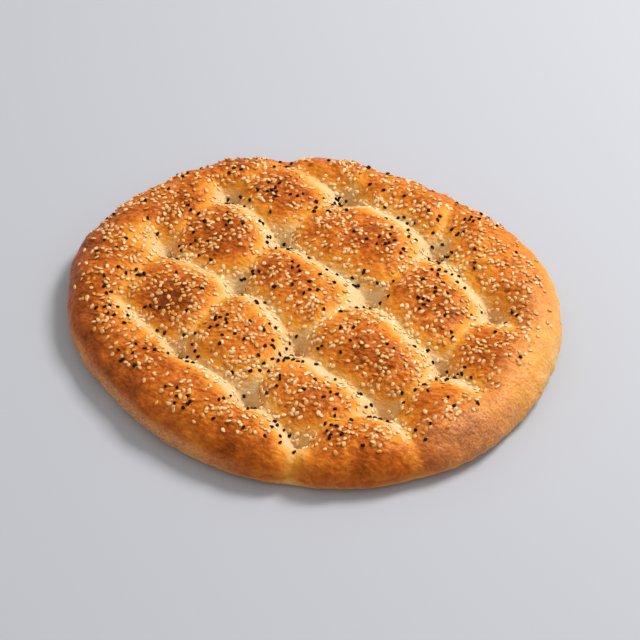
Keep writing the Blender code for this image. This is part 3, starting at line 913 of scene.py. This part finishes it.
class PIDE_OT_sesame(bpy.types.Operator):
    """Strew the sesame seeds on the crust"""

    bl_idname = "pide.sesame"
    bl_label = "Sesame"

    def execute(self, context):
        sprinkling = context.scene.pide_sprinkling
        sprinkle(context, "sesame", {
            "Black": False,
            "Length": sprinkling.sesame_length,
            "Width": sprinkling.sesame_width,
            "Thickness": sprinkling.sesame_thickness,
            "Taper": 0.38, "Segments": 7, "Rings": 5, "Smooth": True,
            "Spread": 0.2, "Tilt": math.radians(24), "Sunk": 0.0, "Proud": 0.4,
            "Material": sesame_skin(context.scene.pide_colours),
        })
        return {"FINISHED"}


class PIDE_OT_nigella(bpy.types.Operator):
    """Strew the nigella seeds on the crust"""

    bl_idname = "pide.nigella"
    bl_label = "Nigella"

    def execute(self, context):
        sprinkling = context.scene.pide_sprinkling
        sprinkle(context, "nigella", {
            "Black": True,
            "Length": sprinkling.nigella_length,
            "Width": sprinkling.nigella_width,
            "Thickness": sprinkling.nigella_thickness,
            "Taper": 0.4, "Segments": 5, "Rings": 4, "Smooth": False,
            "Spread": 0.15, "Tilt": math.radians(20), "Sunk": 0.1, "Proud": 0.4,
            "Material": nigella_skin(context.scene.pide_colours),
        })
        return {"FINISHED"}


def direction(azimuth, elevation):
    """Unit vector from the bread towards a place round it. Azimuth 0 is in front, on -Y."""
    level = math.cos(elevation)
    return Vector((math.sin(azimuth) * level, -math.cos(azimuth) * level, math.sin(elevation)))


def area_light(name, towards, distance, size, power):
    """A square soft light that faces the bread."""
    light = bpy.data.lights.new(name, "AREA")
    light.size = size
    light.energy = power
    item = bpy.data.objects.new(name, light)
    item.location = towards * distance
    item.rotation_euler = (-towards).to_track_quat("-Z", "Y").to_euler()
    bpy.context.scene.collection.objects.link(item)


def lay_floor(scene):
    """A plain floor, level with the underside."""
    bm = bmesh.new()
    bmesh.ops.create_grid(bm, x_segments=1, y_segments=1, size=FLOOR_REACH)
    mesh = bpy.data.meshes.new("floor")
    bm.to_mesh(mesh)
    bm.free()
    mesh.materials.append(painted_floor(scene.pide_colours))
    floor = bpy.data.objects.new("floor", mesh)
    scene.collection.objects.link(floor)


def set_camera(scene):
    """A long lens that looks down at the bread from the front."""
    stage = scene.pide_stage
    camera = bpy.data.objects.new("camera", bpy.data.cameras.new("camera"))
    camera.data.lens = stage.lens
    back = direction(stage.azimuth, stage.elevation)
    camera.location = Vector(LOOK_AT) + back * stage.distance
    camera.rotation_euler = (-back).to_track_quat("-Z", "Y").to_euler()
    scene.collection.objects.link(camera)
    scene.camera = camera


def set_lights(scene):
    """A main light from behind the bread, two weak ones and an even sky."""
    stage = scene.pide_stage
    towards_key = direction(stage.key_azimuth, stage.key_elevation)
    area_light("key", towards_key, KEY_DISTANCE, KEY_SIZE, stage.key_power)
    for name, lamp, power in (("fill", FILL, stage.fill_power), ("side", SIDE, stage.side_power)):
        towards = direction(math.radians(lamp.azimuth), math.radians(lamp.elevation))
        area_light(name, towards, lamp.distance, lamp.size, power)
    world = bpy.data.worlds.new("even sky")
    world.use_nodes = True
    background = world.node_tree.nodes["Background"]
    background.inputs["Color"].default_value = (1.0, 1.0, 1.0, 1.0)
    background.inputs["Strength"].default_value = stage.sky
    scene.world = world


class PIDE_OT_stage(bpy.types.Operator):
    """Lay the floor and set the camera and the lights"""

    bl_idname = "pide.stage"
    bl_label = "Stage"

    def execute(self, context):
        scene = context.scene
        lay_floor(scene)
        set_camera(scene)
        set_lights(scene)
        scene.view_settings.view_transform = "Standard"
        return {"FINISHED"}


class PIDE_PT_panel(bpy.types.Panel):
    """Steps that make the pide, with their sizes and colours"""

    bl_label = "Pide"
    bl_idname = "PIDE_PT_panel"
    bl_space_type = "VIEW_3D"
    bl_region_type = "UI"
    bl_category = "Pide"

    def draw(self, context):
        for step in STEPS:
            self.layout.operator(step.bl_idname)
        for name in GROUPS:
            group = getattr(context.scene, name)
            box = self.layout.box()
            for prop in group.bl_rna.properties:
                if prop.identifier not in ("name", "rna_type"):
                    box.prop(group, prop.identifier)


STEPS = (PIDE_OT_crust, PIDE_OT_sesame, PIDE_OT_nigella, PIDE_OT_stage)
GROUPS = {
    "pide_bread": PideBread,
    "pide_sprinkling": PideSprinkling,
    "pide_colours": PideColours,
    "pide_stage": PideStage,
}


def register():
    for name, group in GROUPS.items():
        bpy.utils.register_class(group)
        setattr(bpy.types.Scene, name, PointerProperty(type=group))
    for step in STEPS:
        bpy.utils.register_class(step)
    bpy.utils.register_class(PIDE_PT_panel)


def unregister():
    bpy.utils.unregister_class(PIDE_PT_panel)
    for step in reversed(STEPS):
        bpy.utils.unregister_class(step)
    for name, group in reversed(GROUPS.items()):
        delattr(bpy.types.Scene, name)
        bpy.utils.unregister_class(group)


def main():
    register()
    bpy.ops.pide.crust()
    bpy.ops.pide.sesame()
    bpy.ops.pide.nigella()
    bpy.ops.pide.stage()


if __name__ == "__main__":
    main()
